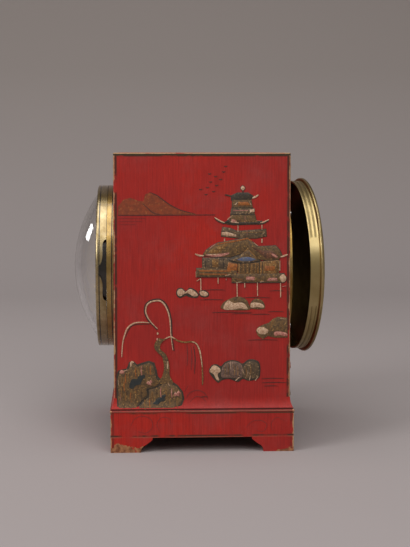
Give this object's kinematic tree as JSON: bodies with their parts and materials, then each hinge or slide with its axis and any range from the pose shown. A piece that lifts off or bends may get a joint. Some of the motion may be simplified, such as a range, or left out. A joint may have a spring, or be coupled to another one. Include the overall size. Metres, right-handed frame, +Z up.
{
  "type": "pendulette clock",
  "caption": "Small upright table clock: square-shouldered wooden case on a plinth with bracket feet, hinged round bezel with a domed glass in front and a round hinged cup door at the back.",
  "frame": {"origin": "on the floor under the middle of the whole clock, measured from the top of the glass to the back door as it stands a little open", "axes": "+Z up, the dial faces -Y, +X to the right of someone who faces the dial"},
  "size_m": [0.0998, 0.1206, 0.14],
  "materials": {
    "red_lacquer": "crackled japanned lacquer, satin",
    "bare_wood": "raw",
    "gilt_brass": "aged gilt, satin",
    "drum_brass": "sheet, dull",
    "movement_brass": "grained",
    "polished_steel": "polished",
    "blued_steel": "heat blued",
    "dial_enamel": "vitreous enamel, glossy",
    "clear_glass": "clear, domed",
    "knob_brass": "turned and handled"
  },
  "bodies": {
    "case": {"front_panel": "red_lacquer", "back_panel": "red_lacquer", "left_side_panel": "red_lacquer", "right_side_panel": "red_lacquer", "top_panel": "red_lacquer", "bottom_board": "bare_wood", "cove_moulding": "red_lacquer", "plinth_rails": "red_lacquer", "bracket_feet": "red_lacquer", "glue_blocks": "bare_wood", "front_ring": "gilt_brass", "drum": "drum_brass", "drum_lugs": "drum_brass", "bezel_hinge_pin": "polished_steel", "dial": "dial_enamel", "sight_ring": "gilt_brass", "dial_feet": "movement_brass", "front_plate": "movement_brass", "back_plate": "movement_brass", "pillars": "movement_brass", "pillar_screws": "blued_steel", "edge_screws": "polished_steel", "minute_stud": "polished_steel", "click_screw": "blued_steel", "click_spring": "polished_steel", "balance_potence": "movement_brass", "hairspring": "blued_steel", "balance_cock": "movement_brass", "cock_screw": "blued_steel", "back_ring": "gilt_brass", "ring_screws": "polished_steel", "clamp_screws": "polished_steel", "door_hinge_pin": "polished_steel"},
    "front_bezel": {"bezel": "gilt_brass", "domed_glass": "clear_glass", "glass_keeper": "gilt_brass"},
    "rear_door": {"back_door": "gilt_brass"},
    "minute_train": {"centre_arbor": "polished_steel", "centre_wheel": "movement_brass", "cannon_pinion": "polished_steel", "minute_hand": "blued_steel", "hand_nut": "polished_steel", "set_knob": "knob_brass"},
    "hour_train": {"hour_wheel": "movement_brass", "hour_hand": "blued_steel"},
    "minute_gear": {"minute_wheel": "movement_brass"},
    "third_gear": {"third_wheel": "movement_brass"},
    "fourth_gear": {"fourth_wheel": "movement_brass"},
    "escape_gear": {"escape_wheel": "polished_steel"},
    "lever": {"pallet_lever": "polished_steel"},
    "balance": {"balance_staff": "polished_steel", "balance_wheel": "movement_brass"},
    "barrel_drum": {"barrel": "movement_brass", "barrel_cover": "movement_brass", "mainspring": "blued_steel"},
    "winding": {"barrel_arbor": "polished_steel", "ratchet_wheel": "polished_steel", "winding_key": "knob_brass"},
    "ratchet_click": {"click": "polished_steel"},
    "regulator": {"regulator_index": "polished_steel"}
  },
  "joints": [
    {"name": "bezel_hinge", "type": "hinge", "parent": "case", "child": "front_bezel", "pos_m": [-0.04175, -0.04298, 0.0833], "axis": [0, 0, -1], "range_deg": [0, 100]},
    {"name": "door_hinge", "type": "hinge", "parent": "case", "child": "rear_door", "pos_m": [-0.0435, 0.04437, 0.0833], "axis": [0, 0, 1], "range_deg": [-6.8, 86]},
    {"name": "minute_spin", "type": "hinge", "parent": "case", "child": "minute_train", "pos_m": [0, 0.00197, 0.0833], "axis": [0, 1, 0], "continuous": true},
    {"name": "hour_spin", "type": "hinge", "parent": "case", "child": "hour_train", "pos_m": [0, 0.00197, 0.0833], "axis": [0, 1, 0], "continuous": true},
    {"name": "minute_wheel_spin", "type": "hinge", "parent": "case", "child": "minute_gear", "pos_m": [0, 0.00197, 0.0905], "axis": [0, 1, 0], "continuous": true},
    {"name": "barrel_spin", "type": "hinge", "parent": "case", "child": "barrel_drum", "pos_m": [0, 0.00197, 0.0689], "axis": [0, 1, 0], "continuous": true},
    {"name": "third_spin", "type": "hinge", "parent": "case", "child": "third_gear", "pos_m": [0.00885, 0.00197, 0.0895], "axis": [0, 1, 0], "continuous": true},
    {"name": "fourth_spin", "type": "hinge", "parent": "case", "child": "fourth_gear", "pos_m": [0.00409, 0.00197, 0.09774], "axis": [0, 1, 0], "continuous": true},
    {"name": "escape_spin", "type": "hinge", "parent": "case", "child": "escape_gear", "pos_m": [-0.00353, 0.00197, 0.09992], "axis": [0, 1, 0], "continuous": true},
    {"name": "winding_spin", "type": "hinge", "parent": "case", "child": "winding", "pos_m": [0, 0.00197, 0.0689], "axis": [0, 1, 0], "continuous": true, "deforming": ["mainspring"]},
    {"name": "click_pivot", "type": "hinge", "parent": "case", "child": "ratchet_click", "pos_m": [0.00689, 0.00197, 0.07469], "axis": [0, 1, 0], "range_deg": [0, 14], "stiffness_Nm_per_rad": 0.0002, "springref_deg": -11.46, "deforming": ["click_spring"]},
    {"name": "balance_swing", "type": "hinge", "parent": "case", "child": "balance", "pos_m": [-0.0134, 0.00197, 0.09411], "axis": [0, 1, 0], "range_deg": [-150, 150], "stiffness_Nm_per_rad": 0.000004, "deforming": ["hairspring"]},
    {"name": "lever_swing", "type": "hinge", "parent": "case", "child": "lever", "pos_m": [-0.00824, 0.00197, 0.09773], "axis": [0, 1, 0], "range_deg": [-4.5, 4.5]},
    {"name": "regulator_turn", "type": "hinge", "parent": "case", "child": "regulator", "pos_m": [-0.0134, 0.00197, 0.09411], "axis": [0, 1, 0], "range_deg": [-25, 25]}
  ],
  "couplings": [
    {"joint": "hour_spin", "follows": "minute_spin", "ratio": 0.083333},
    {"joint": "minute_wheel_spin", "follows": "minute_spin", "ratio": -0.33333},
    {"joint": "barrel_spin", "follows": "minute_spin", "ratio": -0.125},
    {"joint": "third_spin", "follows": "minute_spin", "ratio": -8},
    {"joint": "fourth_spin", "follows": "minute_spin", "ratio": 60},
    {"joint": "escape_spin", "follows": "minute_spin", "ratio": -480},
    {"joint": "lever_swing", "follows": "balance_swing", "ratio": -0.03}
  ]
}
